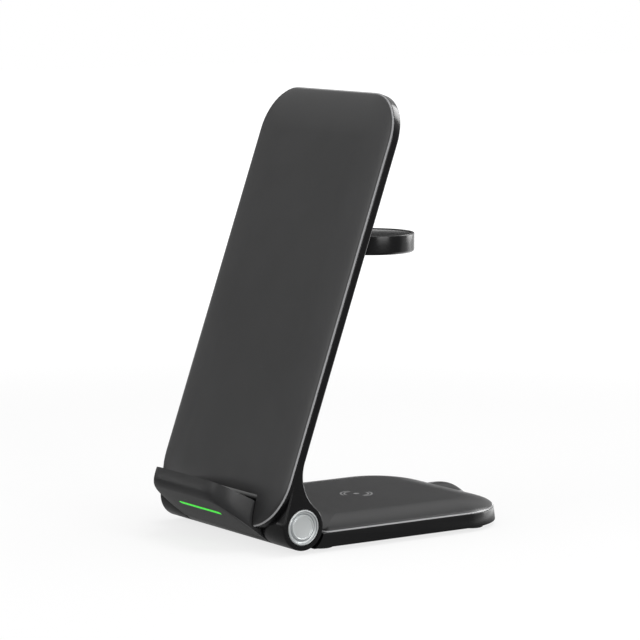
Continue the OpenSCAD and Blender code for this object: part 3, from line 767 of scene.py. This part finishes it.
def ear(side):
    """The outline carried from the knuckle to the outside, with both rims rounded."""
    w = np.radians(np.linspace(0, 90, 6))
    rim = 0.55
    start, end = EAR_START + 0.4, HALF - 0.015
    inset = rim * (1 - np.sin(w))
    roll = rim * (1 - np.cos(w))
    inset = np.concatenate([inset, inset[::-1]])
    across = np.concatenate([start + roll, (end - roll)[::-1]])
    loops = outline[None] + inward[None] * inset[:, None, None]
    points = on_panel(side * across[:, None], loops[..., 0], loops[..., 1])
    made = loft(f"ear_{'right' if side > 0 else 'left'}", points, "panel", gloss_black)
    seat = [(0, SEAT_X), (SEAT_R, SEAT_X), (SEAT_R, 39), (0, 39)]
    rx, ry, rz = turned(seat, 72)
    return carve(made, closed_mesh("seat", on_panel(side * rz, rx, ry), stack_faces(4, 72)))


ears = [ear(-1), ear(1)]
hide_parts("panel_frame")
for each in ears:
    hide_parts("panel_frame")

# %% [markdown]
# ## Round covers on the pins
# The covers are turned metal: a bevelled rim, a groove, a raised ring and a flat middle
# that is sunk a little. A Screw modifier could spin the profile. Here it is spun with
# numpy, as all round parts of the stand are. Its fine turned lines are noise that is
# stretched along the radius.

# %% Cover metal
cap_metal = Finish("cap_metal", (0.55, 0.57, 0.57), 0.34, metallic=0.5)
point, x, y, z = cap_metal.place()
from_pin_y, from_pin_z = y - AXIS[1] / 1000, z - AXIS[2] / 1000
across = (from_pin_y * from_pin_y + from_pin_z * from_pin_z).root()
stretched = cap_metal.node("ShaderNodeCombineXYZ", values={0: across * 9.0, 1: x})
lines = cap_metal.noise(stretched, 900.0, 2.0)
cap_metal.bump(lines, 0.00002)
cap_metal.feed("Roughness", lines * 0.15 + 0.28)
# painted shade: both ends of the groove are coloured dark, where shade falls in it
groove_shade = (across - 0.0044).size().step(0.0, 0.0003)
groove_shade = groove_shade * (across - 0.00515).size().step(0.0, 0.0002)
cap_metal.feed("Base Color", cap_metal.blend(groove_shade, (0.18, 0.19, 0.2), (0.52, 0.54, 0.54)))
print("nodes of the cover's metal:", len(cap_metal.tree.nodes))

# %% Covers
CAP_X = 36  # x of the covers' inner side
cap_profile = rounded([(0.01, 1.35), (3.5, 1.35), (3.7, 1.8), (3.98, 1.8), (4.2, 1.3),
                       (4.55, 1.3), (5.15, 1.75), (5.25, 1.98), (5.55, 1.98), (5.93, 1.6),
                       (5.93, 0.0), (0.01, 0.0)], 0.1, 4)
rx, ry, rh = turned(cap_profile[::-1], 128)
for side, word in ((-1, "left"), (1, "right")):
    cap = loft(f"pin_cover_{word}", on_panel(side * (CAP_X + rh), rx, ry), "panel",
               cap_metal)
    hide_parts(f"hinge_cap_{word}")

# %% [markdown]
# ## The base
# The top of the base is another crowned shell, so the same function makes it, with a
# lower and narrower roll. Under it the tray is a shallow tub with a softened lower edge,
# hollowed out at its front corners where the ears turn. The hollows are cut with a bar,
# because the real ones are round the same pin.

# %% Base top
BASE = dict(hx=HALF - 0.6, a=8.9, b=87.6, ra=2.4, rb=21.2)
top_loops, outer = crowned_shell(BASE, zone=12.5, crown=3.4, wall=WALL, power=1.5,
                                 place=lambda x, h, y: on_base(x, y, TRAY_TOP + h))
base_top = shell("base_top", top_loops, outer, "base", satin_top)
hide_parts("base_cover")

# %% Tray
tray_side = rounded([(3.0, TRAY_LOW), (0.0, TRAY_LOW), (0.6, TRAY_TOP), (1.6, TRAY_TOP)], 0.35)
tx, ty = soft_rect(HALF, 0.0, TRAY_BACK, 0.5, 22.0, tray_side[:, 0], steps=20)
tray = loft("base_tray", on_base(tx, ty, tray_side[:, 1][:, None]), "base", gloss_black)
HOLLOW_R = EAR_R + 0.95
hollows = [bar("hollow", HOLLOW_R, a, b, 0, AXIS[2])
           for a, b in ((EAR_START, 40.0), (-40.0, -EAR_START))]
carve(tray, *hollows, box_cutter("front", (EAR_START, -10, -1), (40, 0.0, 12), on_base),
      box_cutter("front", (-40, -10, -1), (-EAR_START, 0.0, 12), on_base))
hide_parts("base_shell")

# %% Knuckle
knuckle_profile = rounded([(0.01, -EAR_START), (EAR_R, -EAR_START), (EAR_R, EAR_START),
                           (0.01, EAR_START)], 0.3)
kx, ky, kh = turned(knuckle_profile, 96)
knuckle = loft("knuckle", on_base(kh, kx, AXIS[2] + ky), "base", gloss_black)
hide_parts("base_shell")

# %% [markdown]
# ## Feet
# Four rubber feet carry the stand. Each is a low disc with a rounded lower edge. They are
# turned from one profile and moved, because four copies of one drawing stay alike.

# %% Feet
foot_profile = rounded([(0.01, 0.0), (4.3, 0.0), (4.3, 1.95), (0.01, 1.95)], 0.4, 6)
fx, fy, fh = turned(foot_profile, 48)
for row, y in (("front", 12.3), ("rear", 73.5)):
    for word, x in (("left", -29.0), ("right", 29.0)):
        foot = loft(f"pad_{row}_{word}", on_base(x + fx, y + fy, fh), "base", rubber)
        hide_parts(f"foot_{row}_{word}")

# %% [markdown]
# ## The hood over the inlet
# Behind the base's rear edge a low bell-shaped hood covers the charging inlet. Its back
# is a loft of one bell curve that shrinks along a quarter circle. A sculpted lump would
# look alike from one side only, and a formula keeps both shoulders the same.

# %% Hood
HOOD_X, HOOD_HALF = -6.5, 11.5
HOOD_LOW, HOOD_HIGH, HOOD_DEEP, HOOD_ROLL = 5.6, 8.3, 3.2, 0.7
u = np.linspace(-1, 1, 61)
bell = np.maximum(1 - u * u, 0) ** 1.2
v = np.radians(np.linspace(0, 90, 9))
depth = np.concatenate([[81.0], TRAY_BACK - 0.6 + HOOD_DEEP * np.sin(v)])
fall = np.concatenate([[0.0], HOOD_ROLL * (1 - np.cos(v))])
upper = HOOD_LOW + (HOOD_HIGH - HOOD_LOW) * bell
hood_x = HOOD_X + HOOD_HALF * np.concatenate([u, u[::-1]])
hood_z = np.concatenate([upper, np.full(61, TRAY_LOW)])
squeeze = np.concatenate([np.ones(61), -np.ones(61)])
loops = on_base(hood_x, depth[:, None], hood_z - squeeze * fall[:, None])
hood = loft("inlet_hood", loops, "base", satin_top)
carve(hood, box_cutter("mouth", (-11.7, 86, 2.1), (-1.3, 93, 6.4), on_base))
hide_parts("port_hood")

# %% [markdown]
# ## The ledge
# The ledge carries the phone: a chin below, a round lip in front and a channel behind it.
# A curve with a bevel could be swept along it, but its section changes: towards the ends
# the lip draws back to the panel. So it is a loft of sections, each with its own reach,
# and the channel is then cut into it from above.

# %% Ledge sections
CHIN = 0.331  # slope of the chin
CHIN_S = -EAR_R * math.sqrt(1 + CHIN**2)  # the chin's line touches the knuckle's circle
ROOT, REACH = 12, 13.5  # n of the lip's ends, and how far its middle stands before them
RIM_S, RIM_SLOPE = NOTCH_TOP - 2, 0.157


def rim_line(n):
    return RIM_S + RIM_SLOPE * (n - ROOT)


def chin_line(n):
    return CHIN_S + CHIN * n


def ledge_sections(u, steps=26):
    """Sections at x = 24 u. The lip's reach is f = 12 + 13.5 (1 - |u|^9).

    The front of a section is a Bezier curve with the weights (1-t)^3, 3t(1-t)^2,
    3t^2(1-t), t^3. It leaves the chin's line, s = chin + 0.331 n, in a crease, swells
    out to the reach, and runs up to the rim's line, s = 4.05 + 0.157 (n - 12).
    """
    f = (ROOT + REACH * (1 - np.abs(u) ** 9))[:, None]
    low, top = f - 2.4, f - 0.1
    rise = rim_line(top) - chin_line(low)
    t = np.linspace(0, 1, steps)
    w = [(1 - t) ** 3, 3 * t * (1 - t) ** 2, 3 * t**2 * (1 - t), t**3]
    n = low * w[0] + (f - 0.55) * w[1] + (f + 0.05) * w[2] + top * w[3]
    s = chin_line(low) + rise * (0.14 * w[1] + 0.36 * w[2] + w[3])
    back = np.ones_like(f)
    n = np.concatenate([4 * back, 6 * back, n, 6 * back, 4 * back], 1)
    s = np.concatenate([chin_line(4) * back, chin_line(6) * back, s,
                        rim_line(6) * back, rim_line(4) * back], 1)
    return n, s


u = np.sin(np.linspace(-90, 90, 181) * math.pi / 180)
n, s = ledge_sections(u)
ledge = loft("phone_ledge", on_panel((EAR_START - 0.1) * u[:, None], n, s), "base",
             satin_ledge)

# %% Channel
REST, PAD = 1.6, 0.8  # s of the phone's lower edge, and the thickness of the pad under it
LIP_WALL = 1.7
t = np.sin(np.radians(np.linspace(-90, 90, 61)))
wide = EAR_START - LIP_WALL
reach = ROOT - LIP_WALL + 12.1 * (1 - np.abs(t) ** 8)
plan_x = np.concatenate([[wide, -wide], wide * t])
plan_n = np.concatenate([[-20, -20], reach])
channel = prism("channel", plan_x, plan_n, REST - PAD, 20)
carve(ledge, channel, bar("back", EAR_R + 0.05, -26, 26, 0, AXIS[2], 96))
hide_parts("ledge")
print("channel is", round(2 * wide, 1), "mm wide")

# %% [markdown]
# ## The light bar
# A clear bar in the chin glows green while the stand is charging. A lamp behind frosted
# glass would be slow to render for so small a bar. It is a rounded slab, set a hair proud
# of the chin, with a finish that gives off light itself.

# %% Light bar
glow = Finish("green_light", (0.05, 0.6, 0.04), 0.35)
glow.shader.inputs["Emission Color"].default_value = (0.045, 0.75, 0.035, 1)
glow.shader.inputs["Emission Strength"].default_value = 0.75
LIGHT_N = 15.2
LIGHT_HALF, LIGHT_THICK = 12.5, 1.5
TILT = math.atan(CHIN)


def on_chin(x, along, out):
    """x along the bar, `along` up the chin's slope and `out` out of its face."""
    n = LIGHT_N + along * math.cos(TILT) + out * math.sin(TILT)
    s = chin_line(LIGHT_N) + along * math.sin(TILT) - out * math.cos(TILT)
    return on_panel(x, n, s)


inset = np.array([0.2, 0.0, 0.0, 0.06, 0.2])
out = np.array([-1.0, -0.9, 0.0, 0.06, 0.08])
bx, by = soft_rect(LIGHT_HALF, -LIGHT_THICK / 2, LIGHT_THICK / 2, 0.74, 0.74, inset, steps=10)
light = loft("charge_light", on_chin(bx, by, out[:, None]), "base", glow)
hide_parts("light_bar")

# %% [markdown]
# ## The watch disc
# The disc is a cup on a short arm, with a glossy lid let into its top. Cup and lid are
# two turned profiles and not one, because a real seam lies between them, and each has a
# finish of its own. The lid is domed by a fifth of a millimetre, which bends reflections.

# %% Disc and lid
DISC_R, DISC_HALF, DISC_Y = 15.0, 3.2, 24.4
LID_R, LID_TOP, DOME = 13.6, 2.97, 0.22
disc = rounded([(0.01, -DISC_HALF), (14.4, -DISC_HALF), (DISC_R, -2.6), (DISC_R, DISC_HALF),
                (13.95, DISC_HALF), (13.85, 1.9), (0.01, 1.9)], 0.35, 6)
dx, dy, dh = turned(disc, 160)
cup = loft("watch_cup", on_arm(dx, DISC_Y + dy, dh), "watch", gloss_black)
r = np.linspace(LID_R, 0.01, 24)
dome = np.stack([r, LID_TOP + DOME * (1 - (r / LID_R) ** 2)], -1)
lid_edge = rounded([(0.01, 1.95), (13.8, 1.95), (13.8, 2.85), (LID_R, LID_TOP)], 0.1, 4)
lx, ly, lh = turned(np.concatenate([lid_edge, dome]), 160)
lid = loft("watch_lid_gloss", on_arm(lx, DISC_Y + ly, lh), "watch", lid_gloss)
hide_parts("watch_lid")

# %% Arm
ARM_HALF = 7.0
barrel_profile = rounded([(0.01, -ARM_HALF), (3.2, -ARM_HALF), (3.2, ARM_HALF),
                          (0.01, ARM_HALF)], 0.3)
ax, ay, ah = turned(barrel_profile, 64)
barrel = loft("arm_barrel", on_arm(ah, ax, ay), "watch", gloss_black)
link = rounded([(-ARM_HALF, 1.0), (-ARM_HALF, 2.4), (ARM_HALF, 2.4), (ARM_HALF, -0.4),
                (-ARM_HALF, -0.4), (-ARM_HALF, 1.0)], 0.5, 5)
link_y = np.array([0.0, 11.5])[:, None]
arm_link = loft("arm_link", on_arm(link[:-1, 0], link_y, link[:-1, 1]), "watch",
                gloss_black)
for made in (cup, barrel, arm_link):
    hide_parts("watch_arm")

# %% [markdown]
# ## The stand's size
# The dressed stand should fill the same box as the CAD solids. Looking at it would miss a
# tenth of a millimetre.
